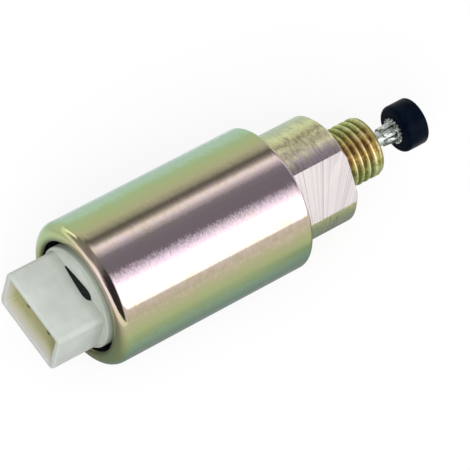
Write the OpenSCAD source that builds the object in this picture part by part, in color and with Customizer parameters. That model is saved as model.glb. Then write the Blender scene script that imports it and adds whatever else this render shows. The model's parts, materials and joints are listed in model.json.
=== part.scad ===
// Fuel shutoff solenoid: a plated steel can with a two-blade connector at the
// rear, a threaded mounting body at the front and a spring-loaded plunger that
// carries a rubber sealing tip. Millimetres.
// X runs along the axis, towards the sealing tip. Z is square to the
// connector's wide face. The origin is the centre of the seating face, where
// the thread starts.

/* [Can] */
// Outside diameter of the can
can_d = 24; // [22.5:0.5:28]
// Length of the can, from its front face to its rolled rear edge
can_len = 36.3; // [34:0.1:44]
// Thickness of the can's side wall and of its rolled lip
can_wall = 1; // [0.8:0.1:1.2]
// Thickness of the can's front wall
can_front_wall = 1.2; // [0.8:0.1:2]
// Outer radius of the rolled rear edge
can_rear_round = 1.9; // [1.4:0.1:2.4]
// Outer radius of the front edge
can_front_round = 0.8; // [0.4:0.1:1.2]
// Width of the rolled lip, from the can's outside to the hole that it leaves
lip_w = 2.85; // [2.5:0.05:3.4]

/* [Threaded body] */
// Width of the step from the can's side down to the turned flange
step_w = 2.9; // [2.5:0.1:3.4]
// Length of the flange in front of the can
flange_len = 11.1; // [8:0.1:14]
// Depth of each wrench flat below the flange's round side
flat_depth = 1.1; // [0.6:0.1:1.6]
// Turn of the flats from the connector's wide face
flats_turn = 45; // [0:5:90]
// Length of the round stretch left behind the flats
flats_land = 0.5; // [0.2:0.1:2]
// Chamfer on the flange's front edge
flange_chamfer = 0.6; // [0.2:0.1:1]
// Outside diameter of the thread
thread_d = 10; // [9:0.5:12]
// Length of the threaded stub
thread_len = 8.4; // [7.4:0.1:9]
// Chamfer on the end of the thread
thread_chamfer = 0.7; // [0.3:0.1:1]
// Thickness of the collar that is trapped in the can
collar_t = 3; // [2.6:0.1:4]
// Depth of the armature's bore, from the collar's rear face
stop_depth = 9.2; // [8:0.1:12]

/* [Plunger] */
// Travel of the plunger
stroke = 3; // [1.5:0.1:3.4]
// Diameter of the armature
armature_d = 8.4; // [7.8:0.1:9]
// Length of the fixed core inside the guide tube
core_len = 8.8; // [7.4:0.1:11]
// Width of the armature's side grooves
groove_w = 0.9; // [0.6:0.1:1.2]
// Diameter of the plunger rod
rod_d = 2.4; // [2:0.1:2.8]
// Depth to which the rod is pressed into the armature
rod_press = 5; // [4:0.1:7]
// Diameter of the sealing tip
tip_d = 7.9; // [7:0.1:9]
// Length of the sealing tip
tip_len = 4; // [3.6:0.1:5]
// Distance from the seating face to the end of the sealing tip
tip_reach = 18.1; // [17.6:0.1:21]
// Diameter of the retainer's toothed rim
retainer_d = 4.5; // [4:0.1:5.4]
// Length of the retainer
retainer_len = 2.9; // [2.4:0.1:3.4]
// Number of fingers on the retainer
retainer_fingers = 8; // [6:1:10]
// Number of teeth on the rim of each finger
finger_teeth = 3; // [2:1:4]

/* [Spring] */
// Diameter of the spring wire
spring_wire_d = 0.5; // [0.4:0.05:0.6]
// Outside diameter of the spring
spring_d = 3.7; // [3.4:0.1:4]
// Number of turns, the two closed end turns among them
spring_turns = 11; // [8:1:13]

/* [Connector] */
// Gap between the lip's edge and each narrow side of the connector block
block_gap = 2.05; // [1.7:0.05:2.6]
// Height of the connector block
block_h = 8.6; // [7.8:0.1:9.4]
// Distance that the block stands out behind the can
block_out = 8.6; // [7:0.1:14]
// Wall of the connector's socket
block_wall = 1; // [0.8:0.1:1.2]
// Radius of the block's long edges
block_round = 0.7; // [0.4:0.1:1.2]
// Depth of the socket
socket_depth = 8; // [6:0.1:8.4]
// Thickness of the moulding's round base
base_t = 4; // [3.4:0.1:5]
// Distance between the two terminal blades
tab_pitch = 5.4; // [5.2:0.1:6.4]
// Height of a terminal blade
tab_h = 2.8; // [2.3:0.1:4]
// Thickness of a terminal blade
tab_t = 0.5; // [0.4:0.05:0.9]
// Distance of the blades' ends inside the socket's mouth
tab_inset = 1.6; // [0.5:0.1:3]

/* [Coil] */
// Thickness of the bobbin's two end flanges
bobbin_flange_t = 1; // [0.8:0.1:1.4]
// Wall of the bobbin's tube
bobbin_wall = 0.7; // [0.5:0.1:1]
// Diameter of the magnet wire
coil_wire_d = 0.5; // [0.4:0.05:0.7]
// Gap between the winding and the can's side wall
winding_gap = 1.2; // [1:0.1:2]
// Wall of the brass guide tube
tube_wall = 0.4; // [0.3:0.05:0.6]
// Thickness of the steel plate behind the bobbin
plate_t = 2; // [1.4:0.1:3]
// Thickness of the shim on the fixed core
shim_t = 0.2; // [0.1:0.05:0.3]

/* [Hidden] */

// Smooth curves and curves on small parts
$fn = 96;
small_fn = 32;
// Overlap of a cut with the face that it opens
eps = 0.1;
// Gap of a pressed or located fit, on the radius
fit_gap = 0.02;
// Gap of the assembled stack, along the axis
stack_gap = 0.05;
// Running clearance of the armature in its tube, on the radius
run_gap = 0.05;
// Clearance of the rod in the body, on the radius
rod_gap = 0.3;

// Radii
can_r = can_d / 2;
can_in_r = can_r - can_wall;
inner_r = can_in_r - stack_gap;
lip_r = can_r - lip_w;
flange_r = can_r - step_w;
flat_r = flange_r - flat_depth;
block_w = 2 * (lip_r - block_gap);
thread_r = thread_d / 2;
armature_r = armature_d / 2;
tube_in_r = armature_r + run_gap;
tube_r = tube_in_r + tube_wall;
rod_r = rod_d / 2;
rod_hole_r = rod_r + rod_gap;
spring_r = spring_d / 2;
spring_wire_r = spring_wire_d / 2;
spring_pocket_r = spring_r + 0.25;
bobbin_in_r = tube_r + stack_gap;
bobbin_tube_r = bobbin_in_r + bobbin_wall;
winding_r = can_in_r - winding_gap;
wrap_in_r = winding_r + fit_gap;
wrap_t = 0.3;

// Places along the axis, from the rear to the front
x_can_front = -flange_len;
x_rear = x_can_front - can_len;
x_mouth = x_rear - block_out;
x_lip_in = x_rear + can_wall;
seal_rim_len = 2;
seal_t = 1.2;
x_seal_disc = x_lip_in + stack_gap + seal_rim_len;
x_base = x_seal_disc + seal_t;
x_plate = x_base + base_t;
x_bobbin = x_plate + plate_t + stack_gap;
x_collar_front = x_can_front - can_front_wall;
x_collar = x_collar_front - collar_t;
x_bobbin_end = x_collar - stack_gap;
x_stop = x_collar + stop_depth;
x_armature_end = x_stop - stack_gap;
x_core = x_plate + plate_t + fit_gap;
x_core_face = x_core + core_len;
x_armature = x_core_face + shim_t + stack_gap + stroke;
x_tip = tip_reach - tip_len;
x_retainer = x_tip - retainer_len;

// Fixed core
core_stem_r = 3;
core_head_r = core_stem_r + 0.4;
core_head_t = 0.5;
core_pocket = 6;
x_core_pocket = x_core_face - core_pocket;

// Armature
armature_pocket = 6;
x_armature_pocket = x_armature + armature_pocket;
armature_chamfer = 0.4;
groove_count = 4;
groove_depth = 0.5;

// Rod and tip: a button on the rod's end is moulded into the rubber
button_r = rod_r + 0.8;
button_t = 0.8;
button_back = 2.1;
x_button = x_tip + button_back;
tip_round = 0.7;
tip_front_round = 0.4;

// Retainer
retainer_sheet = 0.3;
retainer_rim_t = 0.45;
retainer_slot_w = 0.4;
retainer_slot_end = 0.15;
retainer_tooth_h = 0.4;
retainer_teeth = retainer_fingers * finger_teeth;

// Front corner inside the can, and the collar's chamfers that clear it
can_corner = 0.2;
collar_chamfer = can_corner + 0.1;

// Threaded body
mouth_r = retainer_d / 2 + 0.35;
mouth_depth = max(1, thread_len - (x_retainer - stroke) + 0.6);
ring_r = 0.7;
ring_gap = 0.15;
x_ring = (x_collar + x_collar_front) / 2;

// Connector moulding
base_pocket = base_t / 2;
x_base_pocket = x_base + base_pocket;
base_pocket_r = inner_r - 1.2;
x_socket_floor = x_mouth + socket_depth;
socket_w = block_w - 2 * block_wall;
socket_h = block_h - 2 * block_wall;
socket_round = 0.4;
window_gap = 0.05;

// Terminals: a blade, and a tail for the lead in the moulding's pocket
tail_h = 1.4;
tail_out = 0.7;
x_tail_end = x_base_pocket + tail_out;
tab_tip = 0.6;

// Leads: from the tails outwards and forwards to the winding
lead_wire_r = 0.3;
lead_y = (bobbin_tube_r + winding_r) / 2;
lead_start_y = tab_pitch / 2 + tab_t / 2 + lead_wire_r;
x_lead_bend = x_base_pocket + tail_out / 2;
sleeve_in_r = lead_wire_r + stack_gap;
sleeve_r = sleeve_in_r + 0.35;
sleeve_rim_r = sleeve_r + 0.3;
sleeve_rim_t = 0.3;
x_winding = x_bobbin + bobbin_flange_t;
x_winding_end = x_bobbin_end - bobbin_flange_t;
winding_len = x_winding_end - x_winding;
winding_rows = floor(winding_len / coil_wire_d);
winding_pitch = winding_len / winding_rows;

// Colours
c_plate = [0.72, 0.68, 0.50];
c_nylon = [0.86, 0.89, 0.85];
c_rubber = [0.07, 0.07, 0.09];
c_steel = [0.68, 0.69, 0.70];
c_bright = [0.85, 0.86, 0.87];
c_brass = [0.80, 0.66, 0.36];
c_copper = [0.74, 0.42, 0.24];
c_bobbin = [0.18, 0.18, 0.20];
c_wrap = [0.86, 0.72, 0.32];

// Turns a profile about the X axis: profile x is the radius, profile y is X
module turned() {
    rotate([0, 90, 0]) rotate_extrude() children();
}

// A profile rectangle from radius r0 to r1 and from X = x0 to x1
module band(r0, r1, x0, x1) {
    translate([r0, x0]) square([r1 - r0, x1 - x0]);
}

// A turned ring or, with r0 = 0, a turned disc
module ring(r0, r1, x0, x1) {
    turned() band(r0, r1, x0, x1);
}

// A profile from the axis to radius r, with a rounded corner at each end
module rounded_bar(r, x0, x1, round0, round1) {
    band(0, r - round0, x0, x0 + round0);
    band(0, r, x0 + round0, x1 - round1);
    band(0, r - round1, x1 - round1, x1);
    translate([r - round0, x0 + round0]) circle(round0);
    translate([r - round1, x1 - round1]) circle(round1);
}

// A profile from the axis to radius r, with a chamfer at each end
module chamfered_bar(r, x0, x1, c0, c1) {
    polygon([
        [0, x0], [r - c0, x0], [r, x0 + c0],
        [r, x1 - c1], [r - c1, x1], [0, x1]
    ]);
}

// A rectangle with round corners, w along Y and h along Z
module rounded_rect(w, h, round) {
    square([h - 2 * round, w], center = true);
    square([h, w - 2 * round], center = true);
    for (sy = [-1, 1], sz = [-1, 1])
        translate([sz * (h / 2 - round), sy * (w / 2 - round)]) circle(round, $fn = small_fn);
}

// A straight bar along X with the child as its section
module bar_x(x0, x1) {
    translate([x0, 0, 0]) rotate([0, 90, 0]) linear_extrude(x1 - x0) children();
}

// Drawn shell with a round front corner and a lip rolled over at the rear
module can() {
    edge_r = can_wall / 2;
    color(c_plate) turned() difference() {
        rounded_bar(can_r, x_rear, x_can_front, can_rear_round, can_front_round);
        rounded_bar(can_in_r, x_lip_in, x_collar_front, can_rear_round - can_wall, can_corner);
        band(0, flange_r + stack_gap, x_collar_front - eps, x_can_front + eps);
        difference() {
            band(0, lip_r + edge_r, x_rear - eps, x_lip_in + eps);
            translate([lip_r + edge_r, x_rear + edge_r]) circle(edge_r, $fn = small_fn);
        }
    }
}

// Turned body: collar inside the can, flange with two flats, threaded stub
module threaded_body() {
    color(c_plate) difference() {
        turned() difference() {
            union() {
                chamfered_bar(inner_r, x_collar, x_collar_front, collar_chamfer, collar_chamfer);
                chamfered_bar(flange_r, x_collar_front - eps, 0, eps / 2, flange_chamfer);
                chamfered_bar(thread_r, -eps, thread_len, eps / 2, thread_chamfer);
            }
            band(0, tube_r + fit_gap, x_collar - eps, x_stop);
            band(0, rod_hole_r, x_stop - eps, thread_len + eps);
            band(0, mouth_r, thread_len - mouth_depth, thread_len + eps);
            band(inner_r - 2 * ring_r, inner_r + eps,
                 x_ring - ring_r - ring_gap, x_ring + ring_r + ring_gap);
        }
        for (side = [0, 180])
            rotate([flats_turn + side, 0, 0])
                translate([x_can_front + flats_land, -flange_r, flat_r])
                    cube([flange_len - flats_land + eps / 2, 2 * flange_r, flange_r]);
    }
}

// Ring that seals the collar in the can
module body_o_ring() {
    color(c_rubber) turned()
        translate([inner_r - ring_r, x_ring]) circle(ring_r - fit_gap, $fn = small_fn);
}

// Brass tube that guides the armature
module guide_tube() {
    color(c_brass) ring(tube_in_r, tube_r, x_core, x_stop - fit_gap);
}

// Steel core, staked into the rear plate, with a pocket for the spring
module fixed_core() {
    color(c_steel) turned() difference() {
        union() {
            chamfered_bar(core_head_r, x_plate - core_head_t, x_plate, 0.25, 0);
            band(0, core_stem_r, x_plate - eps, x_plate + plate_t + eps);
            chamfered_bar(tube_in_r - fit_gap, x_core, x_core_face, 0.2, 0.3);
        }
        band(0, spring_pocket_r, x_core_pocket, x_core_face + eps);
    }
}

// Thin washer that keeps the armature from sticking to the core
module core_shim() {
    color(c_brass)
        ring(spring_pocket_r, tube_in_r - run_gap, x_core_face, x_core_face + shim_t);
}

// Steel plate behind the bobbin, with holes for the core and the two leads
module flux_plate() {
    color(c_steel) difference() {
        ring(core_stem_r + fit_gap, inner_r, x_plate, x_plate + plate_t);
        for (side = [-1, 1])
            translate([x_plate - eps, side * lead_y, 0]) rotate([0, 90, 0])
                cylinder(h = plate_t + 2 * eps, r = sleeve_r + fit_gap, $fn = small_fn);
    }
}

// Bobbin: a tube between two flanges, the rear one drilled for the leads
module coil_bobbin() {
    color(c_bobbin) difference() {
        turned() difference() {
            union() {
                band(0, bobbin_tube_r, x_bobbin, x_bobbin_end);
                band(0, inner_r - stack_gap, x_bobbin, x_winding);
                band(0, inner_r - stack_gap, x_winding_end, x_bobbin_end);
            }
            band(0, bobbin_in_r, x_bobbin - eps, x_bobbin_end + eps);
        }
        for (side = [-1, 1])
            translate([x_bobbin - eps, side * lead_y, 0]) rotate([0, 90, 0])
                cylinder(h = bobbin_flange_t + 2 * eps, r = lead_wire_r + stack_gap, $fn = small_fn);
    }
}

// Winding, with its outer layer of turns as round ridges
module coil_winding() {
    wire_r = winding_pitch / 2;
    color(c_copper) turned() {
        band(bobbin_tube_r + fit_gap, winding_r - wire_r, x_winding + fit_gap, x_winding_end - fit_gap);
        for (i = [0 : winding_rows - 1])
            translate([winding_r - wire_r, x_winding + (i + 0.5) * winding_pitch])
                circle(wire_r - fit_gap, $fn = small_fn);
    }
}

// Insulating wrap over the winding
module coil_wrap() {
    color(c_wrap) ring(wrap_in_r, wrap_in_r + wrap_t, x_winding + stack_gap, x_winding_end - stack_gap);
}

// Rubber gasket under the lip, with a window for the connector block
module end_seal() {
    color(c_rubber) difference() {
        ring(0, inner_r, x_lip_in + stack_gap, x_base);
        ring(0, max(lip_r + 0.15, norm([block_w, block_h]) / 2 + 0.3),
             x_lip_in, x_seal_disc);
        bar_x(x_seal_disc - eps, x_base + eps)
            rounded_rect(block_w + 2 * window_gap, block_h + 2 * window_gap, block_round);
        ring(inner_r - can_rear_round + can_wall, inner_r + eps,
             x_lip_in, x_lip_in + can_rear_round - can_wall);
    }
}

// Nylon moulding: a hollow block on a round base that is trapped in the can
module connector_housing() {
    color(c_nylon) difference() {
        union() {
            bar_x(x_mouth, x_base + eps) rounded_rect(block_w, block_h, block_round);
            ring(0, inner_r, x_base, x_plate);
        }
        // Socket
        bar_x(x_mouth - eps, x_socket_floor) rounded_rect(socket_w, socket_h, socket_round);
        // Pocket for the tails and the core's staked head
        ring(0, base_pocket_r, x_base_pocket, x_plate + eps);
        // Slots for the two terminals
        for (side = [-1, 1]) {
            translate([x_socket_floor - eps, side * tab_pitch / 2 - tab_t / 2, -tab_h / 2])
                cube([x_base - x_socket_floor + eps, tab_t, tab_h]);
            translate([x_base - eps, side * tab_pitch / 2 - tab_t / 2, -tail_h / 2])
                cube([base_pocket + 2 * eps, tab_t, tail_h]);
        }
    }
}

// Blade with a tapered tip, and a narrower tail that the lead is joined to
module terminal(side) {
    color(c_bright) translate([0, side * tab_pitch / 2 + tab_t / 2, 0]) rotate([90, 0, 0])
        linear_extrude(tab_t) polygon([
            [x_mouth + tab_inset, -tab_h / 2 + tab_tip],
            [x_mouth + tab_inset + tab_tip, -tab_h / 2],
            [x_base, -tab_h / 2],
            [x_base, -tail_h / 2],
            [x_tail_end, -tail_h / 2],
            [x_tail_end, tail_h / 2],
            [x_base, tail_h / 2],
            [x_base, tab_h / 2],
            [x_mouth + tab_inset + tab_tip, tab_h / 2],
            [x_mouth + tab_inset, tab_h / 2 - tab_tip]
        ]);
}

// Insulating sleeve, with a rim, where a lead passes through the plate
module lead_sleeve(side) {
    color(c_nylon) translate([0, side * lead_y, 0]) turned() difference() {
        union() {
            band(0, sleeve_rim_r, x_plate - sleeve_rim_t, x_plate);
            band(0, sleeve_r, x_plate - eps, x_plate + plate_t);
        }
        band(0, sleeve_in_r, x_plate - sleeve_rim_t - eps, x_plate + plate_t + eps);
    }
}

// Lead: out from the terminal's tail, round a bend and on to the winding
module lead_wire(side) {
    color(c_copper) {
        translate([x_lead_bend, side * lead_start_y, 0]) rotate([-90 * side, 0, 0])
            cylinder(h = lead_y - lead_start_y, r = lead_wire_r, $fn = small_fn);
        translate([x_lead_bend, side * lead_y, 0]) sphere(lead_wire_r, $fn = small_fn);
        translate([x_lead_bend, side * lead_y, 0]) rotate([0, 90, 0])
            cylinder(h = x_winding - x_lead_bend, r = lead_wire_r, $fn = small_fn);
    }
}

// Armature: spring pocket at the rear, rod hole at the front, side grooves
module armature() {
    color(c_steel) difference() {
        turned() difference() {
            chamfered_bar(armature_r, x_armature, x_armature_end, armature_chamfer, armature_chamfer);
            band(0, spring_pocket_r, x_armature - eps, x_armature_pocket);
            band(0, rod_r + fit_gap, x_armature_end - rod_press, x_armature_end + eps);
        }
        for (i = [0 : groove_count - 1])
            rotate([i * 360 / groove_count, 0, 0])
                translate([x_armature - eps, -groove_w / 2, armature_r - groove_depth])
                    cube([x_armature_end - x_armature + 2 * eps, groove_w, groove_depth + eps]);
    }
}

// Rod from the armature to the button inside the sealing tip
module plunger_rod() {
    color(c_bright) turned() {
        chamfered_bar(rod_r, x_armature_end - rod_press + fit_gap, x_button + button_t, 0.2, 0);
        rounded_bar(button_r, x_button, x_button + button_t, 0.2, 0.2);
    }
}

// Helix of round wire with closed end turns
spring_sides = 8;
spring_steps = 16;
spring_x0 = x_core_pocket + spring_wire_r + fit_gap;
spring_x1 = x_armature_pocket - spring_wire_r - fit_gap;
spring_mean_r = spring_r - spring_wire_r;
spring_lift = (spring_x1 - spring_x0 - 2 * spring_wire_d) / (spring_turns - 2);

// Height of the wire's centre after t turns: close pitch at both ends
function spring_x(t) =
    t < 1 ? spring_x0 + t * spring_wire_d
    : t > spring_turns - 1 ? spring_x1 - (spring_turns - t) * spring_wire_d
    : spring_x0 + spring_wire_d + (t - 1) * spring_lift;

// Point of the wire's surface at turn t and angle b round the wire
function spring_point(t, b) =
    let (r = spring_mean_r + spring_wire_r * cos(b), x = spring_x(t) + spring_wire_r * sin(b))
    [x, r * cos(360 * t), r * sin(360 * t)];

module return_spring() {
    rings = spring_turns * spring_steps;
    points = [
        for (i = [0 : rings], j = [0 : spring_sides - 1])
            spring_point(i / spring_steps, j * 360 / spring_sides)
    ];
    sides = [
        for (i = [0 : rings - 1], j = [0 : spring_sides - 1])
            let (k = (j + 1) % spring_sides, a = i * spring_sides, b = a + spring_sides)
            [a + j, a + k, b + k, b + j]
    ];
    start_cap = [for (j = [spring_sides - 1 : -1 : 0]) j];
    end_cap = [for (j = [0 : spring_sides - 1]) rings * spring_sides + j];
    color(c_bright) polyhedron(points, concat(sides, [start_cap, end_cap]), convexity = 10);
}

// Push-on retainer: a toothed rim with fingers that close in on the rod
module tip_retainer() {
    rim_r = retainer_d / 2;
    root_r = rim_r - retainer_tooth_h;
    grip_r = rod_r + fit_gap;
    x_rim = x_tip - fit_gap - retainer_rim_t;
    color(c_bright) difference() {
        union() {
            turned() polygon([
                [grip_r, x_retainer], [grip_r + retainer_sheet, x_retainer],
                [root_r - eps, x_rim + eps], [root_r - eps - retainer_sheet, x_rim + eps]
            ]);
            difference() {
                bar_x(x_rim, x_rim + retainer_rim_t) polygon([
                    for (i = [0 : 2 * retainer_teeth - 1])
                        let (r = i % 2 == 0 ? root_r : rim_r, a = i * 180 / retainer_teeth)
                        [r * cos(a), r * sin(a)]
                ]);
                ring(0, grip_r + retainer_sheet, x_rim - eps, x_tip);
            }
        }
        for (i = [0 : retainer_fingers - 1])
            rotate([i * 360 / retainer_fingers, 0, 0])
                translate([x_retainer - eps, -retainer_slot_w / 2, 0])
                    cube([x_rim - retainer_slot_end - x_retainer + eps, retainer_slot_w, rim_r]);
    }
}

// Rubber tip, moulded over the button on the rod
module seal_tip() {
    color(c_rubber) turned() difference() {
        rounded_bar(tip_d / 2, x_tip, tip_reach, tip_round, tip_front_round);
        band(0, rod_r + fit_gap, x_tip - eps, x_button);
        band(0, button_r + fit_gap, x_button - fit_gap, x_button + button_t + fit_gap);
    }
}

can();
threaded_body();
body_o_ring();
guide_tube();
fixed_core();
core_shim();
flux_plate();
coil_bobbin();
coil_winding();
coil_wrap();
end_seal();
connector_housing();
terminal(1);  // terminal_left
terminal(-1);  // terminal_right
lead_sleeve(1);  // lead_sleeve_left
lead_sleeve(-1);  // lead_sleeve_right
lead_wire(1);  // lead_wire_left
lead_wire(-1);  // lead_wire_right
armature();
plunger_rod();
return_spring();
tip_retainer();
seal_tip();
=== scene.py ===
"""Fuel shutoff solenoid: the finishes, the detailed pieces, the studio and the camera."""
import json
import math

import bmesh
import bpy
from mathutils import Matrix, Vector


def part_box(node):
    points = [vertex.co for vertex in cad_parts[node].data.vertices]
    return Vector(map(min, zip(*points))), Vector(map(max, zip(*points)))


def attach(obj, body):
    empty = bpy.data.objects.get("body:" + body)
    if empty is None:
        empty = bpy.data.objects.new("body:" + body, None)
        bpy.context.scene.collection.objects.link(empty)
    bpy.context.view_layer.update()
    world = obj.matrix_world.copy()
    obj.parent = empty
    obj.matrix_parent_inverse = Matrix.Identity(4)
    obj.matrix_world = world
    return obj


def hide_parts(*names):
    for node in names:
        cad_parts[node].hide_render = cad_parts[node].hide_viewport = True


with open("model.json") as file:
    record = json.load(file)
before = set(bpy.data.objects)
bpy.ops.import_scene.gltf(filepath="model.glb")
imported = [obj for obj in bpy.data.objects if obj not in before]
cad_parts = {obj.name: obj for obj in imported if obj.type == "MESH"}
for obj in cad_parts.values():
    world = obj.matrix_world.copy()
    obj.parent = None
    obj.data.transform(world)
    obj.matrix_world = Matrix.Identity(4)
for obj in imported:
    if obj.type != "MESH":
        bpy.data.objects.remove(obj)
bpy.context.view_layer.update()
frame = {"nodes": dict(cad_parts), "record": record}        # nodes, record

# Units
MM = 0.001

# Places from the frame, in millimetres along the axis, and radii
CAN_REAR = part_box("can")[0].x / MM
CAN_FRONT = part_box("can")[1].x / MM
CAN_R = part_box("can")[1].y / MM
COLLAR_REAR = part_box("threaded_body")[0].x / MM
COLLAR_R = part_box("threaded_body")[1].y / MM
THREAD_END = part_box("threaded_body")[1].x / MM
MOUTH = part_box("connector_housing")[0].x / MM
BASE_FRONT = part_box("connector_housing")[1].x / MM
SEAL_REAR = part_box("end_seal")[0].x / MM
SEAL_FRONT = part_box("end_seal")[1].x / MM
ROD_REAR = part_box("plunger_rod")[0].x / MM
ROD_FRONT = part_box("plunger_rod")[1].x / MM
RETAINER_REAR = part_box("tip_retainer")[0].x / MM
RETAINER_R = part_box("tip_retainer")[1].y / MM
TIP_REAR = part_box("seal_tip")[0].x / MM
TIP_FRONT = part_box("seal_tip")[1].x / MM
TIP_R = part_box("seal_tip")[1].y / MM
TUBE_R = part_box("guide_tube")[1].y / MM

# Sizes that the boxes don't give, in millimetres: the gap between neighbours first, then how far a
# piece sinks into one that it is joined to
GAP = 0.02
SINK = 0.5

# The can
WALL = 1.0
FRONT_WALL = 1.2
REAR_ROUND = 1.9
FRONT_ROUND = 0.8
LIP_R = 9.15

# The mounting body: collar, flange with its flats, the can's hole round it, and threaded stub
RING_GROOVE_R = 9.55
RING_GROOVE_HALF = 0.85
ARMATURE_STOP = -6.1
FLANGE_R = 9.1
FLANGE_CHAMFER = 0.6
CAN_HOLE_R = FLANGE_R + 0.05
FLAT_R = 8.0
FLAT_LAND = 0.5
FLATS_TURN = math.radians(45)
STUB_MOUTH_R = 2.6
STUB_MOUTH_DEPTH = 1.0
ROD_HOLE_R = 1.5
THREAD_R = 5.0
THREAD_CHAMFER = 0.7
THREAD_PITCH = 1.25
THREAD_DEPTH = 0.32

# The thread's groove: where it runs, half its width at the root and at the top, steps a turn, turns
# over which it fades, and how many depths it has risen by its end
GROOVE_START = 0.75
GROOVE_END = 7.5
GROOVE_ROOT = 0.12
GROOVE_TOP = 0.54
GROOVE_STEPS = 72
GROOVE_FADE = 0.4
GROOVE_LIFT = 1.1

# The connector: block, socket, round foot and base, and the gasket round it
BLOCK_W = 14.2
BLOCK_H = 8.6
BLOCK_WALL = 1.0
BLOCK_ROUND = 1.0
SOCKET_DEPTH = 8.0
SOCKET_ROUND = 0.4
SOCKET_CLEAR = 0.3
MOUTH_INNER_ROUND = 0.2
MOUTH_OUTER_ROUND = 0.3
FOOT_R = 8.45
FOOT_REAR = CAN_REAR - 0.3
BASE_WALL = 1.2
BASE_HOLLOW = 2.0
TAIL_HALF = 0.7
GASKET_T = 1.2
GASKET_R = LIP_R + 0.15
GASKET_STEP = 0.9

# The plunger: rod, button, and the retainer with its rim, teeth, fingers and slots. The fingers reach
# into the rim by the lap, and the slots end as far before it. A slot has the narrow share of its width
# behind the retainer, and the wide one at its front
ROD_R = 1.2
BUTTON_R = 2.0
BUTTON_X = 16.2
COLLAR_T = 0.32
CONE_T = 0.35
RIM_T = 0.45
RIM_LAP = 0.1
TOOTH_H = 0.5
TEETH = 18
FINGERS = 8
SLOT_HALF = 0.26
SLOT_NARROW = 0.4
SLOT_WIDE = 1.7

# The black stroke in the corner between the connector's wide face and its foot: its ends, its width, how
# much further it goes up the foot, its skin and least width, its blunt end's share of its length, and its
# taper
STROKE_TIP = 3.5
STROKE_END = -3.4
STROKE_WIDTH = 0.8
STROKE_RISE = 1.6
STROKE_SKIN = 0.015
STROKE_LEAST = 0.03
STROKE_BLUNT = 0.25
STROKE_TAPER = 0.8
STROKE_CURVE = 1.4

# The camera: the way it looks, the point that it looks at, its distance and its lens
VIEW_AZIMUTH = math.radians(-51.26)
VIEW_ELEVATION = math.radians(56.57)
VIEW_ROLL = math.radians(18.32)
VIEW_POINT = Vector((-0.0196, -0.0031, 0.0))
VIEW_DISTANCE = 0.6152
VIEW_LENS = 306.4

# How bright the tent is as metal sees it, by the angle from straight up towards -Y:
# in front of the part and beside it, behind it, and straight behind it.
# The ranges say how far along X a direction goes where one wall gives way to the next
FRONT_TENT = [
    (-180, 1.00), (-60, 1.00), (-50, 0.66), (-42, 0.18), (-37, 0.28), (-33, 0.55), (-27, 1.40),
    (-22, 1.20), (-18, 0.80), (-10, 0.32), (0, 0.27), (24, 0.25), (40, 0.9), (60, 1.0), (180, 1.00),
]
REAR_TENT = [
    (-180, 0.9), (-100, 0.85), (-80, 0.5), (-60, 0.40), (-40, 0.32), (-20, 0.40), (0, 0.22),
    (12, 0.08), (30, 0.04), (84, 0.05), (100, 0.25), (120, 0.45), (180, 0.7),
]
END_TENT = [
    (-180, 1.6), (-60, 1.6), (-40, 1.1), (-20, 0.6), (20, 0.35), (45, 0.15), (90, 0.15), (120, 0.4),
    (180, 1.2),
]
REAR_FROM = (-0.34, -0.2)
END_FROM = (-0.98, -0.92)

# What matt surfaces see instead of the tent, as an even level
MATT_LEVEL = 0.62

# The window: its level, the angles of its soft upper and sharp lower edge, how many degrees each edge
# slants as a direction goes along X, the place along X where both angles hold, the one behind which
# the upper edge runs straight, and its end
WINDOW_LEVEL = 2.4
WINDOW_TOP = (15.0, 43.0)
WINDOW_BOTTOM = (76.9, 75.1)
WINDOW_TOP_SLANT = -32
WINDOW_BOTTOM_SLANT = -22
WINDOW_X = 0.43
WINDOW_STRAIGHT = 0.29
WINDOW_END = (-0.29, -0.15)

# The lamp on the +Y side: the way to its middle, along it and across it, its level, its soft edges,
# and where it starts to face the part
LAMP_WAY = (-0.360, 0.931, 0.063)
LAMP_ALONG = (-0.253, -0.162, 0.954)
LAMP_ACROSS = (0.898, 0.328, 0.294)
LAMP_LEVEL = 2.0
LAMP_SIDE_EDGE = (0.17, 0.09)
LAMP_END_EDGE = (0.42, 0.3)
LAMP_FACE = (0.0, 0.1)

# The key lamp, which only matt surfaces see
KEY_WAY = (-0.62, -0.52, 0.59)
KEY_DISTANCE = 0.8
KEY_SIZE = 0.5
KEY_ENERGY = 3.8

# The floor touches the can's side. Metal sees a painted shade on it beside the part, by the place across, a
# deeper painted shade under the flange's side, and painted bright stretches behind the part and in front of
# it.
# The last two are the level at which the camera sees the floor, and the share that takes the shadow
FLOOR_Z = -CAN_R * MM
FLOOR_SIZE = 3.0
FLOOR_BAND = 0.16
FLOOR_SHADE = [
    (-0.08, 0.9), (-0.042, 0.8), (-0.023, 0.5), (-0.014, 0.25), (0.0, 0.15), (0.012, 0.5),
    (0.019, 1.0), (0.026, 0.95), (0.033, 0.78), (0.05, 0.84), (0.08, 0.88),
]
FLANGE_SHADE = 0.72
FLANGE_SHADE_X = (-0.01, 0.0)
FLANGE_SHADE_NEAR = (-0.012, -0.017)
FLANGE_SHADE_FAR = (-0.034, -0.026)
FLOOR_BEHIND = 1.3
BEHIND_X = (-0.072, -0.1)
FLOOR_FRONT = 1.2
FRONT_X = (0.01, 0.028)
FRONT_ACROSS = (0.02, 0.012)
FLOOR_GLOW = 0.82
FLOOR_MATT = 0.2


def tone(red, green, blue):
    """A colour as a screen shows it, 0 to 255, made linear."""
    shares = [value / 255 for value in (red, green, blue)]
    return [s / 12.92 if s <= 0.04045 else ((s + 0.055) / 1.055) ** 2.4 for s in shares] + [1.0]


# Modelling

def select(part):
    """Selects the piece alone and makes it the active one."""
    bpy.ops.object.select_all(action="DESELECT")
    bpy.context.view_layer.objects.active = part
    part.select_set(True)


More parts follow.
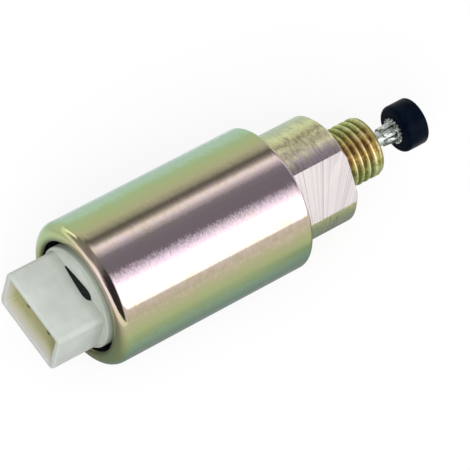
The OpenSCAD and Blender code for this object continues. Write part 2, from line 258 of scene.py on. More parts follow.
def edit(part):
    """Opens the piece for editing, with nothing selected."""
    select(part)
    bpy.ops.object.mode_set(mode="EDIT")
    bpy.ops.mesh.select_all(action="DESELECT")


def close(part):
    """Ends editing."""
    bpy.ops.object.mode_set(mode="OBJECT")
    return part


def pick(part, kind, test):
    """Selects, in edit mode, the vertices, edges or faces that pass the test."""
    bpy.ops.mesh.select_mode(type={"verts": "VERT", "edges": "EDGE", "faces": "FACE"}[kind])
    bpy.ops.mesh.select_all(action="DESELECT")
    mesh = bmesh.from_edit_mesh(part.data)
    for item in getattr(mesh, kind):
        if test(item):
            item.select_set(True)
    mesh.select_flush_mode()
    bmesh.update_edit_mesh(part.data)


def middle(edge):
    """The middle of an edge, in millimetres."""
    return (edge.verts[0].co + edge.verts[1].co) / 2 / MM


def turned(name, outline, segments=160):
    """A closed outline of corners (x, radius, rounding, steps), in mm, spun about the axis."""
    bpy.ops.mesh.primitive_circle_add(vertices=len(outline), radius=MM)
    part = bpy.context.object
    part.name = name
    corners = [Vector((x, 0, r)) * MM for x, r, _, _ in outline]
    for vertex, corner in zip(part.data.vertices, corners):
        vertex.co = corner
    edit(part)
    for corner, (_, _, rounding, steps) in zip(corners, outline):
        if rounding:
            pick(part, "verts", lambda v: (v.co - corner).length < MM / 1000)
            bpy.ops.mesh.bevel(offset=rounding * MM, segments=steps, affect="VERTICES")
    bpy.ops.mesh.select_all(action="SELECT")
    bpy.ops.mesh.spin(steps=segments, angle=math.tau, center=(0, 0, 0), axis=(1, 0, 0))
    bpy.ops.mesh.select_all(action="SELECT")
    bpy.ops.mesh.remove_doubles(threshold=MM / 2000)
    bpy.ops.mesh.delete_loose(use_verts=True, use_edges=True, use_faces=False)
    bpy.ops.mesh.select_all(action="SELECT")
    bpy.ops.mesh.normals_make_consistent(inside=False)
    return close(part)


def block(name, low, high):
    """A box between two corners, in millimetres, as a start."""
    low, high = Vector(low) * MM, Vector(high) * MM
    bpy.ops.mesh.primitive_cube_add(size=1, location=(low + high) / 2, scale=high - low)
    part = bpy.context.object
    part.name = name
    bpy.ops.object.transform_apply(location=True, rotation=True, scale=True)
    return part


def apply(part, kind, **settings):
    """Adds a modifier with these settings and applies it."""
    select(part)
    modifier = part.modifiers.new(kind.lower(), kind)
    for key, value in settings.items():
        setattr(modifier, key, value)
    bpy.ops.object.modifier_apply(modifier=modifier.name)


def soften(part, width):
    """Bevels the piece's sharp edges."""
    apply(part, "BEVEL", width=width * MM, segments=2, limit_method="ANGLE", angle_limit=math.radians(40))


def combine(part, tool, operation="DIFFERENCE"):
    """Cuts the tool out of the piece, or joins it on, and takes the tool away."""
    apply(part, "BOOLEAN", object=tool, operation=operation, solver="EXACT")
    bpy.data.objects.remove(tool)


def finish_piece(part, body, slot, look, *nodes, smooth=32):
    """Shades the piece smooth up to an angle in degrees, gives it a look where it has none yet, hides the
    nodes that it replaces, and ties it to its body. The slot is not used."""
    select(part)
    bpy.ops.object.shade_smooth_by_angle(angle=math.radians(smooth))
    if look:
        part.data.materials.append(look)
    if nodes:
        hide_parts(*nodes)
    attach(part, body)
    return part


# Finishes

def node(tree, kind, inputs=(), **settings):
    """A shader node with its settings, its values and its links."""
    made = tree.nodes.new("ShaderNode" + kind)
    for key, value in settings.items():
        setattr(made, key, value)
    for key, value in dict(inputs).items():
        if isinstance(value, bpy.types.NodeSocket):
            tree.links.new(value, made.inputs[key])
        else:
            made.inputs[key].default_value = value
    return made


def maths(tree, operation, first, second=0.0, third=0.0):
    """The result of a Math node."""
    made = node(tree, "Math", {0: first, 1: second, 2: third}, operation=operation)
    return made.outputs[0]


def product(tree, first, *others):
    """All these levels multiplied together."""
    for other in others:
        first = maths(tree, "MULTIPLY", first, other)
    return first


def between(tree, share, low, high):
    """A level that goes from low to high as the share goes from 0 to 1."""
    return node(tree, "Mix", {0: share, 2: low, 3: high}).outputs[0]


def step_up(tree, value, start, end):
    """0 before the start, 1 after the end, and a straight slope between them."""
    made = node(tree, "MapRange", {"Value": value, "From Min": start, "From Max": end})
    return made.outputs["Result"]


def blended(tree, share, first, second, **settings):
    """The first colour with a share of the second one."""
    mixed = node(tree, "Mix", {0: share, 6: first, 7: second}, data_type="RGBA", **settings)
    return mixed.outputs[2]


def position(tree):
    """The spot's place on the part, as separate X, Y and Z."""
    return node(tree, "SeparateXYZ", {0: node(tree, "TexCoord").outputs["Object"]}).outputs


def off_axis(tree, spot):
    """How far the spot is from the part's axis."""
    square = maths(tree, "MULTIPLY", spot["Y"], spot["Y"])
    return maths(tree, "SQRT", maths(tree, "MULTIPLY_ADD", spot["Z"], spot["Z"], square))


def ramp(tree, factor, stops):
    """Colours along a factor: stops of (position, colour)."""
    made = node(tree, "ValToRGB", {"Fac": factor})
    elements = made.color_ramp.elements
    elements.remove(elements[1])
    elements[0].position, elements[0].color = stops[0]
    for position, colour in stops[1:]:
        elements.new(position).color = colour
    return made.outputs["Color"]


def spread(tree, factor, low, high):
    """Values from low to high along a factor from 0 to 1."""
    made = node(tree, "MapRange", {"Value": factor, "To Min": low, "To Max": high})
    return made.outputs["Result"]


def grain(tree, scale, detail=3.0, roughness=0.6):
    """Noise with its own number of cells a metre along X, Y and Z."""
    place = node(tree, "Mapping", {"Vector": node(tree, "TexCoord").outputs["Object"], "Scale": scale})
    made = node(tree, "TexNoise", {
        "Vector": place.outputs["Vector"], "Scale": 1.0, "Detail": detail, "Roughness": roughness})
    return made.outputs["Fac"]


def bump(tree, height, distance, below=None):
    """A bump of that height in metres, laid on another bump if one is given."""
    inputs = {"Height": height, "Distance": distance, "Strength": 1.0}
    if below:
        inputs["Normal"] = below
    return node(tree, "Bump", inputs).outputs["Normal"]


def finish(name, **values):
    """A new material and its node tree, with plain values set on its own shader."""
    made = bpy.data.materials.new(name)
    made.use_nodes = True
    shader = made.node_tree.nodes["Principled BSDF"]
    for key, value in values.items():
        shader.inputs[key.replace("_", " ")].default_value = value
    return made, made.node_tree


def link(tree, **outputs):
    """Links outputs to sockets of the material's own shader."""
    shader = tree.nodes["Principled BSDF"]
    for key, value in outputs.items():
        tree.links.new(value, shader.inputs[key.replace("_", " ")])


# Where the plating's rose band faces, which is the camera's side round the axis, how far the polishing
# strokes turn the face, how strong the specks are, and the band whose colour the rolled edge takes on
ROSE_TURN = math.radians(22.4)
FROST = 0.2
SPECKS = 0.4
RIM_SHARE = 0.68

# Colours of the can's passivated zinc, from a quarter turn away from the rose band to facing it: partly the
# zinc's own tint and partly a painted sheen and painted reflections, as they show from the camera's side
PLATING_AND_SHEEN_BANDS = [
    (0.00, tone(184, 198, 190)),
    (0.09, tone(162, 186, 154)),
    (0.19, tone(160, 187, 158)),
    (0.25, tone(158, 182, 142)),
    (0.31, tone(158, 178, 130)),
    (0.45, tone(166, 174, 124)),
    (0.60, tone(170, 166, 130)),
    (0.75, tone(190, 175, 154)),
    (0.87, tone(202, 185, 180)),
    (1.00, tone(202, 182, 194)),
]


def rose_share(tree):
    """1 where the side faces the rose band, and 0 a quarter turn away."""
    place = node(tree, "TexCoord").outputs["Object"]
    place = node(tree, "Mapping", {"Vector": place, "Rotation": (-ROSE_TURN, 0, 0)})
    split = node(tree, "SeparateXYZ", {0: place.outputs["Vector"]})
    across = maths(tree, "MULTIPLY", split.outputs["Y"], split.outputs["Y"])
    facing = maths(tree, "MULTIPLY", split.outputs["Z"], split.outputs["Z"])
    return maths(tree, "DIVIDE", facing, maths(tree, "ADD", facing, across))


def plating_and_sheen_colour(tree, bands, drift=0.16):
    """Bands of colour round the axis, as the thin film of passivation gives, with soft drift: partly the
    zinc's own tint and partly a painted sheen, laid out as it shows from the camera's side.
    """
    cloud = maths(tree, "SUBTRACT", grain(tree, (60, 110, 110), detail=2), 0.5)
    share = maths(tree, "MULTIPLY_ADD", cloud, drift, rose_share(tree))
    patches = maths(tree, "SUBTRACT", grain(tree, (420, 300, 300), roughness=0.7), 0.5)
    share = maths(tree, "MULTIPLY_ADD", patches, drift, share)
    specks = maths(tree, "SUBTRACT", grain(tree, (1500, 900, 900), roughness=0.7), 0.5)
    share = maths(tree, "MULTIPLY_ADD", specks, SPECKS, share)
    rolled = step_up(tree, position(tree)["X"], (CAN_REAR + REAR_ROUND) * MM, (CAN_REAR + 0.5) * MM)
    return ramp(tree, between(tree, product(tree, rolled, 0.5), share, RIM_SHARE), bands)


def frosted(tree, below):
    """Short polishing strokes round the can, which turn its face a little to and fro about the axis."""
    strokes = maths(tree, "SUBTRACT", grain(tree, (4200, 2000, 2000), roughness=0.7), 0.5)
    turn = product(tree, strokes, maths(tree, "POWER", rose_share(tree), 12), FROST)
    around = node(tree, "VectorMath", {0: (1, 0, 0), 1: below}, operation="CROSS_PRODUCT")
    tilt = node(tree, "VectorMath", {0: around.outputs[0], 3: turn}, operation="SCALE")
    return node(tree, "VectorMath", {0: below, 1: tilt.outputs[0]}, operation="ADD").outputs[0]


def can_plating():
    """Glossy yellow zinc on the drawn can, with fine streaks round it and painted shade on its inner lip.
    """
    made, tree = finish("can_plating", Metallic=1.0, Specular_Tint=tone(232, 240, 240))
    streaks = grain(tree, (2600, 110, 110), detail=2, roughness=0.55)
    fine = grain(tree, (9000, 500, 500), detail=1)
    radius = off_axis(tree, position(tree))
    # Painted shade on the inner lip, darker towards the hole.
    inner_lip_shade = product(tree, step_up(tree, radius, (LIP_R + 0.9) * MM, (LIP_R + 0.1) * MM), 0.85)
    link(
        tree,
        Base_Color=blended(tree, inner_lip_shade, plating_and_sheen_colour(tree, PLATING_AND_SHEEN_BANDS), tone(96, 92, 70)),
        Roughness=spread(tree, streaks, 0.06, 0.12),
        Normal=frosted(tree, bump(tree, fine, 0.0000006, below=bump(tree, streaks, 0.000006))),
    )
    return made


# Colours of the turned body's zinc, the same way round: partly its own tint and partly a painted sheen,
# with painted highlights and painted dark reflections among its bands
BODY_AND_SHEEN_BANDS = [
    (0.00, tone(176, 186, 168)),
    (0.12, tone(178, 188, 162)),
    (0.24, tone(190, 198, 154)),
    (0.36, tone(212, 216, 166)),
    (0.50, tone(192, 190, 148)),
    (0.58, tone(150, 142, 112)),
    (0.64, tone(198, 192, 154)),
    (0.71, tone(212, 206, 170)),
    (0.79, tone(230, 222, 186)),
    (0.86, tone(200, 190, 168)),
    (0.93, tone(186, 172, 172)),
    (1.00, tone(182, 168, 180)),
]


def body_plating():
    """Yellow zinc over turned steel: the tool's rings show."""
    made, tree = finish("body_plating", Metallic=0.88, Specular_Tint=tone(240, 245, 235))
    rings = grain(tree, (2600, 160, 160), roughness=0.7)
    mottle = grain(tree, (900, 700, 700))
    stain = ramp(tree, rings, [
        (0.34, tone(176, 170, 156)), (0.5, (1, 1, 1, 1)), (0.66, tone(232, 232, 214))])
    # The bands carry a painted sheen, painted highlights and painted dark reflections.
    tint = plating_and_sheen_colour(tree, BODY_AND_SHEEN_BANDS, drift=0.38)
    link(
        tree,
        Base_Color=blended(tree, 0.55, tint, stain, blend_type="MULTIPLY"),
        Roughness=spread(tree, mottle, 0.2, 0.36),
        Normal=bump(tree, mottle, 0.000008, below=bump(tree, rings, 0.00001)),
    )
    return made


# Where the cutter's marks on the flats fan out from, in metres, and how many there are to a radian
FAN_SHIFT = (0.0103, 0.0137, 0)
FAN_MARKS = 90


def flat_plating():
    """The milled flats: pale zinc with the cutter's marks fanning out."""
    made, tree = finish("flat_plating", Metallic=1.0, Specular_Tint=tone(245, 240, 240))
    place = node(tree, "Mapping", {
        "Vector": node(tree, "TexCoord").outputs["Object"], "Rotation": (-FLATS_TURN, 0, 0),
        "Location": FAN_SHIFT})
    spot = node(tree, "SeparateXYZ", {0: place.outputs["Vector"]}).outputs
    turn = maths(tree, "ARCTAN2", spot["X"], spot["Y"])
    fan = node(tree, "CombineXYZ", {0: product(tree, turn, FAN_MARKS), 1: spot["Y"]})
    marks = node(tree, "TexNoise", {
        "Vector": fan.outputs[0], "Scale": 1.0, "Detail": 3.0, "Roughness": 0.7}).outputs["Fac"]
    tint = ramp(tree, marks, [
        (0.35, tone(106, 98, 88)), (0.41, tone(164, 156, 150)), (0.46, tone(203, 196, 196)),
        (0.55, tone(200, 193, 194)), (0.61, tone(168, 161, 158)), (0.67, tone(206, 200, 200))])
    link(tree, Base_Color=tint, Roughness=spread(tree, marks, 0.6, 0.4), Normal=bump(tree, marks, 0.00005))
    return made


def thread_plating():
    """Passivation on the thread, golden towards the rose band and green beside it, which is partly its own
    tint and partly a painted sheen, with painted shade in the roots and a painted highlight on the crests.
    """
    made, tree = finish("thread_plating", Metallic=0.7, Specular_Tint=tone(230, 240, 210))
    spot = position(tree)
    # Painted shade and highlight: darker towards the roots, lightest on the crests.
    height = step_up(tree, off_axis(tree, spot), (THREAD_R - THREAD_DEPTH) * MM, THREAD_R * MM)
    mottle = grain(tree, (420, 600, 600), roughness=0.75)
    share = maths(tree, "MULTIPLY_ADD", maths(tree, "SUBTRACT", mottle, 0.5), 2.0, height)
    golden = ramp(tree, share, [
        (0.0, tone(96, 66, 34)), (0.3, tone(164, 128, 66)), (0.6, tone(204, 174, 104)),
        (0.9, tone(216, 196, 132)), (1.0, tone(232, 222, 176))])
    green = ramp(tree, share, [
        (0.0, tone(96, 98, 52)), (0.3, tone(142, 148, 80)), (0.6, tone(166, 172, 102)),
        (0.9, tone(188, 194, 132)), (1.0, tone(218, 222, 178))])
    facing = step_up(tree, rose_share(tree), 0.45, 0.95)
    end = step_up(tree, spot["X"], (THREAD_END - 1.1) * MM, (THREAD_END - 0.5) * MM)
    tint = blended(tree, facing, green, golden)
    tint = blended(tree, product(tree, end, 0.65), tint, tone(118, 110, 66))
    link(
        tree, Base_Color=tint, Roughness=spread(tree, mottle, 0.34, 0.5),
        Normal=bump(tree, mottle, 0.00002))
    return made


def white_nylon():
    """Greenish white nylon, a little translucent, with painted shade in the corner by the foot and towards
    the foot's edge.
    """
    made, tree = finish(
        "white_nylon", Roughness=0.42, Subsurface_Weight=0.25, Subsurface_Scale=0.001,
        Subsurface_Radius=(1.0, 1.0, 0.8), Specular_IOR_Level=0.4)
    cloud = grain(tree, (260, 260, 260))
    skin = grain(tree, (5200, 5200, 5200), detail=2)
    tint = ramp(tree, cloud, [
        (0.3, tone(191, 197, 190)), (0.6, tone(201, 207, 200)), (0.8, tone(209, 214, 208))])
    spot = position(tree)
    # Painted shade in the corner where the block meets the foot, and towards the foot's edge, in a greyer
    # tone.
    near_foot = step_up(tree, spot["X"], (FOOT_REAR - 1.8) * MM, (FOOT_REAR - 0.05) * MM)
    on_block = step_up(tree, spot["X"], (FOOT_REAR - 0.01) * MM, (FOOT_REAR - 0.02) * MM)
    near_edge = step_up(tree, off_axis(tree, spot), (FOOT_R - 1.4) * MM, FOOT_R * MM)
    on_foot = step_up(tree, spot["X"], (FOOT_REAR - 0.1) * MM, FOOT_REAR * MM)
    corner = product(tree, near_foot, on_block, 0.5)
    edge = product(tree, near_edge, on_foot, 0.6)
    tint = blended(tree, maths(tree, "MAXIMUM", corner, edge), tint, tone(150, 157, 140))
    link(tree, Base_Color=tint, Normal=bump(tree, skin, 0.000004))
    return made


def socket_nylon():
    """The socket's inside: white at the mouth, and yellower and darker further in as painted shade."""
    made, tree = finish("socket_nylon", Roughness=0.5, Subsurface_Weight=0.2, Subsurface_Scale=0.001)
    # Painted shade, deepening from the mouth into the socket.
    inward_shade = step_up(tree, position(tree)["X"], (MOUTH + 0.4) * MM, (MOUTH + 2.0) * MM)
    cloud = grain(tree, (700, 500, 700))
    share = maths(tree, "MULTIPLY_ADD", maths(tree, "SUBTRACT", cloud, 0.5), 0.5, inward_shade)
    tint = ramp(tree, share, [
        (0.05, tone(220, 216, 212)), (0.4, tone(214, 213, 188)), (0.75, tone(204, 204, 166)),
        (1.0, tone(192, 191, 146))])
    link(tree, Base_Color=tint, Normal=bump(tree, cloud, 0.000008))
    return made


def black_rubber():
    """Plain black rubber."""
    made, tree = finish("black_rubber", Specular_IOR_Level=0.3)
    skin = grain(tree, (1800, 1800, 1800))
    tint = ramp(tree, skin, [(0.3, tone(20, 20, 22)), (0.7, tone(34, 34, 38))])
    link(tree, Base_Color=tint, Roughness=spread(tree, skin, 0.55, 0.75), Normal=bump(tree, skin, 0.000008))
    return made


def crimped_steel():
    """Bright steel that was pressed over in small uneven folds."""
    made, tree = finish("crimped_steel", Metallic=0.85, Roughness=0.3)
    folds = grain(tree, (1100, 1500, 1500), detail=2, roughness=0.7)
    tint = ramp(tree, folds, [
        (0.36, tone(96, 104, 98)), (0.5, tone(196, 202, 196)), (0.62, tone(240, 244, 240))])
    link(tree, Base_Color=tint, Normal=bump(tree, folds, 0.00022))
    return made


def tip_rubber():
    """Smooth black rubber, with a painted bluish sheen in its colour."""
    made, tree = finish("tip_rubber", Specular_IOR_Level=0.03)
    skin = grain(tree, (900, 900, 900))
    # The bluish tint is a painted sheen.
    tint = ramp(tree, skin, [(0.3, tone(2, 5, 18)), (0.7, tone(7, 19, 33))])
    link(tree, Base_Color=tint, Roughness=spread(tree, skin, 0.3, 0.42), Normal=bump(tree, skin, 0.000006))
    return made


def matt_black():
    """Matt black with faint lighter spots."""
    made, tree = finish("matt_black", Roughness=0.6, Specular_IOR_Level=0.2)
    spots = grain(tree, (3000, 3000, 3000))
    link(tree, Base_Color=ramp(tree, spots, [(0.3, tone(18, 22, 22)), (0.7, tone(46, 52, 50))]))
    return made


def bright_steel():
    """Bright, lightly marked steel."""
    made, tree = finish("bright_steel", Metallic=1.0)
    marks = grain(tree, (2200, 1600, 1600))
    tint = ramp(tree, marks, [(0.3, tone(172, 180, 174)), (0.7, tone(218, 224, 220))])
    link(tree, Base_Color=tint, Roughness=spread(tree, marks, 0.26, 0.5), Normal=bump(tree, marks, 0.00002))
    return made


def drawn_metal(name, colour, rough):
    """A plain metal with fine marks round the axis."""
    made, tree = finish(name, Metallic=1.0)
    marks = grain(tree, (3000, 300, 300), detail=2)
    dark = [channel * 0.8 for channel in colour[:3]] + [1.0]
    link(
        tree,
        Base_Color=ramp(tree, marks, [(0.3, dark), (0.7, colour)]),
        Roughness=spread(tree, marks, rough, rough + 0.15),
        Normal=bump(tree, marks, 0.000003),
    )
    return made


def moulded_black():
    """Black moulded plastic with a fine skin."""
    made, tree = finish("bobbin_plastic", Specular_IOR_Level=0.4)
    skin = grain(tree, (3000, 3000, 3000), detail=2)
    tint = ramp(tree, skin, [(0.3, tone(34, 34, 38)), (0.7, tone(52, 52, 56))])
    link(tree, Base_Color=tint, Roughness=spread(tree, skin, 0.4, 0.55), Normal=bump(tree, skin, 0.000004))
    return made


def wrap_film():
    """Amber insulating film with faint creases."""
    made, tree = finish("wrap_film", Coat_Weight=0.3)
    creases = grain(tree, (200, 900, 900))
    tint = ramp(tree, creases, [(0.3, tone(196, 152, 60)), (0.7, tone(226, 190, 96))])
    link(
        tree, Base_Color=tint, Roughness=spread(tree, creases, 0.2, 0.35),
        Normal=bump(tree, creases, 0.00002))
    return made


# The studio and the camera

def studio_world():
    """A white tent: plain to the camera, even to matt surfaces, and with its lamps and gaps to metal."""
    world = bpy.data.worlds.new("studio")
    bpy.context.scene.world = world
    world.use_nodes = True
    tree = world.node_tree
    way = node(tree, "TexCoord").outputs["Generated"]
    split = node(tree, "SeparateXYZ", {0: way})
    ahead = split.outputs["X"]
    turn = maths(tree, "ARCTAN2", product(tree, split.outputs["Y"], -1), split.outputs["Z"])
    degrees = maths(tree, "DEGREES", turn)
    front, rear, end = (tent(tree, degrees, levels) for levels in (FRONT_TENT, REAR_TENT, END_TENT))
    rear = between(tree, step_up(tree, ahead, *END_FROM), end, rear)
    level = between(tree, step_up(tree, ahead, *REAR_FROM), rear, front)
    level = maths(tree, "MAXIMUM", level, window_level(tree, degrees, ahead))
    level = maths(tree, "MAXIMUM", level, side_lamp_level(tree, way))
    path = node(tree, "LightPath")
    level = between(tree, path.outputs["Is Diffuse Ray"], level, MATT_LEVEL)
    level = between(tree, path.outputs["Is Camera Ray"], level, 1.0)
    tree.links.new(level, tree.nodes["Background"].inputs["Strength"])
    tree.nodes["Background"].inputs["Color"].default_value = (1, 1, 1, 1)


def dot(tree, way, other):
    """How far a direction goes along another."""
    return node(tree, "VectorMath", {0: way, 1: other}, operation="DOT_PRODUCT").outputs["Value"]


def tent(tree, degrees, levels):
    """Level of the tent's wall by the angle from straight up towards -Y."""
    around = maths(tree, "MULTIPLY_ADD", degrees, 1 / 360, 0.5)
    top = max(level for _, level in levels)
    stops = [(0.5 + angle / 360, [level / top] * 3 + [1.0]) for angle, level in levels]
    return maths(tree, "MULTIPLY", ramp(tree, around, stops), top)


def window_level(tree, degrees, ahead):
    """Level of the window: a soft, slanting upper edge, a sharp lower edge, and an end behind the part."""
    slanting = maths(tree, "SUBTRACT", maths(tree, "MAXIMUM", ahead, WINDOW_STRAIGHT), WINDOW_X)
    leaning = maths(tree, "SUBTRACT", ahead, WINDOW_X)
    upper = maths(tree, "MULTIPLY_ADD", slanting, WINDOW_TOP_SLANT, degrees)
    lower = maths(tree, "MULTIPLY_ADD", leaning, WINDOW_BOTTOM_SLANT, degrees)
    return product(
        tree, step_up(tree, upper, *WINDOW_TOP), step_up(tree, lower, *WINDOW_BOTTOM),
        step_up(tree, ahead, *WINDOW_END), WINDOW_LEVEL)


def side_lamp_level(tree, way):
    """Level of the long lamp that stands low beside the part, on the +Y side."""
    across = step_up(tree, maths(tree, "ABSOLUTE", dot(tree, way, LAMP_ACROSS)), *LAMP_SIDE_EDGE)
    along = step_up(tree, maths(tree, "ABSOLUTE", dot(tree, way, LAMP_ALONG)), *LAMP_END_EDGE)
    near = step_up(tree, dot(tree, way, LAMP_WAY), *LAMP_FACE)
    return product(tree, across, along, near, LAMP_LEVEL)


def key_lamp():
    """A broad soft lamp from behind and above, for the matt surfaces."""
    place = Vector(KEY_WAY) * KEY_DISTANCE
    facing = place.to_track_quat("Z", "Y").to_euler()
    bpy.ops.object.light_add(type="AREA", location=place, rotation=facing)
    lamp = bpy.context.object
    lamp.data.size = KEY_SIZE
    lamp.data.energy = KEY_ENERGY
    lamp.visible_glossy = False


def floor_mirrored(tree):
    """How bright metal sees the floor: painted shade beside the part, and painted light behind it and in
    front of it.
    """
    spot = position(tree)
    across = maths(tree, "MULTIPLY_ADD", spot["Y"], 1 / FLOOR_BAND, 0.5)
    beside = ramp(tree, across, [(0.5 + y / FLOOR_BAND, [level] * 3 + [1.0]) for y, level in FLOOR_SHADE])
    under = product(
        tree, step_up(tree, spot["X"], *FLANGE_SHADE_X), step_up(tree, spot["Y"], *FLANGE_SHADE_NEAR),
        step_up(tree, spot["Y"], *FLANGE_SHADE_FAR))
    beside = product(tree, beside, between(tree, under, 1.0, FLANGE_SHADE))
    behind = product(tree, step_up(tree, spot["X"], *BEHIND_X), FLOOR_BEHIND)
    in_line = step_up(tree, maths(tree, "ABSOLUTE", spot["Y"]), *FRONT_ACROSS)
    in_front = product(tree, step_up(tree, spot["X"], *FRONT_X), in_line, FLOOR_FRONT)
    return maths(tree, "MAXIMUM", maths(tree, "MAXIMUM", beside, behind), in_front)


def floor():
    """A white floor that still takes a soft shadow."""
    bpy.ops.mesh.primitive_plane_add(size=FLOOR_SIZE, location=(0, 0, FLOOR_Z))
    ground = bpy.context.object
    ground.name = "floor"
    made, tree = finish("floor_white")
    tree.nodes.remove(tree.nodes["Principled BSDF"])
    path = node(tree, "LightPath")
    seen = maths(tree, "MAXIMUM", path.outputs["Is Camera Ray"], path.outputs["Is Glossy Ray"])
    seen = maths(tree, "MAXIMUM", seen, path.outputs["Is Transmission Ray"])
    plain = node(tree, "BsdfDiffuse", {"Color": tone(190, 190, 190)})
    # Metal sees the floor with its painted shade and painted light, not its plain glow.
    strength = between(tree, path.outputs["Is Glossy Ray"], FLOOR_GLOW, floor_mirrored(tree))
    glow = node(tree, "Emission", {"Color": (1, 1, 1, 1), "Strength": strength})
    dim = node(tree, "BsdfDiffuse", {"Color": (FLOOR_MATT, FLOOR_MATT, FLOOR_MATT, 1)})
    shown = node(tree, "AddShader", {0: dim.outputs[0], 1: glow.outputs[0]})
    both = node(tree, "MixShader", {0: seen, 1: plain.outputs[0], 2: shown.outputs[0]})
    tree.links.new(both.outputs[0], tree.nodes["Material Output"].inputs["Surface"])
    ground.data.materials.append(made)


def camera():
    """The photograph's view: from behind and above, rolled so that the part climbs to the right."""
    turn = Matrix.Rotation(VIEW_AZIMUTH, 4, "Z") @ Matrix.Rotation(math.pi / 2 - VIEW_ELEVATION, 4, "X")
    turn = turn @ Matrix.Rotation(VIEW_ROLL, 4, "Z")
    back = turn.to_3x3() @ Vector((0, 0, 1))
    bpy.ops.object.camera_add(location=VIEW_POINT + back * VIEW_DISTANCE, rotation=turn.to_euler())
    made = bpy.context.object
    made.data.lens = VIEW_LENS
    made.data.sensor_width = 36
    made.data.clip_start = 0.01
    bpy.context.scene.camera = made


camera()
studio_world()
key_lamp()
floor()
bpy.context.scene.view_settings.view_transform = "Standard"


# The pieces

def can():
    """Drawn shell, its rear edge rolled in over what it holds."""
    lip = WALL / 2
    part = turned("can_shell", [
        (CAN_REAR, LIP_R, lip, 6),
        (CAN_REAR, CAN_R, REAR_ROUND, 12),
        (CAN_FRONT, CAN_R, FRONT_ROUND, 8),
        (CAN_FRONT, CAN_HOLE_R, 0, 0),
        (CAN_FRONT - FRONT_WALL, CAN_HOLE_R, 0, 0),
        (CAN_FRONT - FRONT_WALL, CAN_R - WALL, 0.2, 2),
        (CAN_REAR + WALL, CAN_R - WALL, REAR_ROUND - WALL, 6),
        (CAN_REAR + WALL, LIP_R, lip, 6),
    ], segments=192)
    return finish_piece(part, "housing", "can_plating", can_plating(), "can")


def thread_groove():
    """The groove of the thread: its section, screwed along the stub, fading out at both ends."""
    root = THREAD_R - THREAD_DEPTH
    side = [
        (GROOVE_ROOT, root), (GROOVE_TOP, THREAD_R - 0.01), (GROOVE_TOP + 0.02, THREAD_R + 0.02),
        (GROOVE_TOP + 0.02, THREAD_R + 0.4),
    ]
    section = [(-x, r) for x, r in reversed(side)] + side
    bpy.ops.mesh.primitive_circle_add(vertices=len(section), radius=MM)
    tool = bpy.context.object
    for vertex, (x, r) in zip(tool.data.vertices, section):
        vertex.co = Vector((x + GROOVE_START, 0, r)) * MM
    length = GROOVE_END - GROOVE_START
    turns = length / THREAD_PITCH
    steps = round(GROOVE_STEPS * turns)
    apply(
        tool, "SCREW", axis="X", angle=math.tau * turns, screw_offset=length * MM, iterations=1,
        steps=steps, render_steps=steps, use_merge_vertices=False)
    fade_steps = GROOVE_STEPS * GROOVE_FADE
    for vertex in tool.data.vertices:
        turn = math.atan2(vertex.co.z, vertex.co.y)
        radius = math.hypot(vertex.co.y, vertex.co.z)
        step = vertex.index // len(section)
        to_end = min(step, steps - step)
        if to_end < fade_steps:
            radius += (1 - to_end / fade_steps) * THREAD_DEPTH * GROOVE_LIFT * MM
            vertex.co.y = radius * math.cos(turn)
            vertex.co.z = radius * math.sin(turn)
    edit(tool)
    bpy.ops.mesh.select_all(action="SELECT")
    bpy.ops.mesh.fill_holes(sides=0)
    bpy.ops.mesh.normals_make_consistent(inside=False)
    return close(tool)


def mounting_body():
    """Turned body: collar in the can, flange with two flats, and the threaded stub."""
    collar_front = CAN_FRONT - FRONT_WALL
    ring_x = (COLLAR_REAR + collar_front) / 2
    part = turned("mounting_body", [
        (COLLAR_REAR, TUBE_R + GAP, 0, 0),
        (COLLAR_REAR, COLLAR_R, 0.3, 1),
        (ring_x - RING_GROOVE_HALF, COLLAR_R, 0, 0),
        (ring_x - RING_GROOVE_HALF, RING_GROOVE_R, 0, 0),
        (ring_x + RING_GROOVE_HALF, RING_GROOVE_R, 0, 0),
        (ring_x + RING_GROOVE_HALF, COLLAR_R, 0, 0),
        (collar_front, COLLAR_R, 0.3, 1),
        (collar_front, FLANGE_R, 0, 0),
        (0, FLANGE_R, FLANGE_CHAMFER, 1),
        (0, THREAD_R, 0, 0),
        (THREAD_END, THREAD_R, THREAD_CHAMFER, 2),
        (THREAD_END, STUB_MOUTH_R, 0, 0),
        (THREAD_END - STUB_MOUTH_DEPTH, STUB_MOUTH_R, 0, 0),
        (THREAD_END - STUB_MOUTH_DEPTH, ROD_HOLE_R, 0, 0),
        (ARMATURE_STOP, ROD_HOLE_R, 0, 0),
        (ARMATURE_STOP, TUBE_R + GAP, 0, 0),
    ])
    beyond = FLANGE_R + 1
    for side in (FLATS_TURN, FLATS_TURN + math.pi):
        tool = block("flat_cutter", (CAN_FRONT + FLAT_LAND, -beyond, FLAT_R), (1, beyond, beyond))
        tool.data.transform(Matrix.Rotation(side, 4, "X"))
        combine(part, tool)
    soften(part, 0.12)
    combine(part, thread_groove())
    for material in (body_plating(), flat_plating(), thread_plating()):
        part.data.materials.append(material)
    facing = Vector((0, -math.sin(FLATS_TURN), math.cos(FLATS_TURN)))
    for face in part.data.polygons:
        radius = math.hypot(face.center.y, face.center.z)
        on_flange = CAN_FRONT * MM < face.center.x < 0
        if on_flange and abs(face.normal.dot(facing)) > 0.999:
            face.material_index = 1
        elif face.center.x > 0 and radius < (THREAD_R + 0.01) * MM:
            face.material_index = 2
    return finish_piece(part, "housing", "body_plating", None, "threaded_body", smooth=24)


def rounded_block(name, low, high, rounding):
    """A block with its four edges along the axis rounded."""
    part = block(name, low, high)
    edit(part)
    pick(part, "edges", lambda e: abs((e.verts[0].co - e.verts[1].co).normalized().x) > 0.9)
    bpy.ops.mesh.bevel(offset=rounding * MM, segments=6, affect="EDGES")
    return close(part)


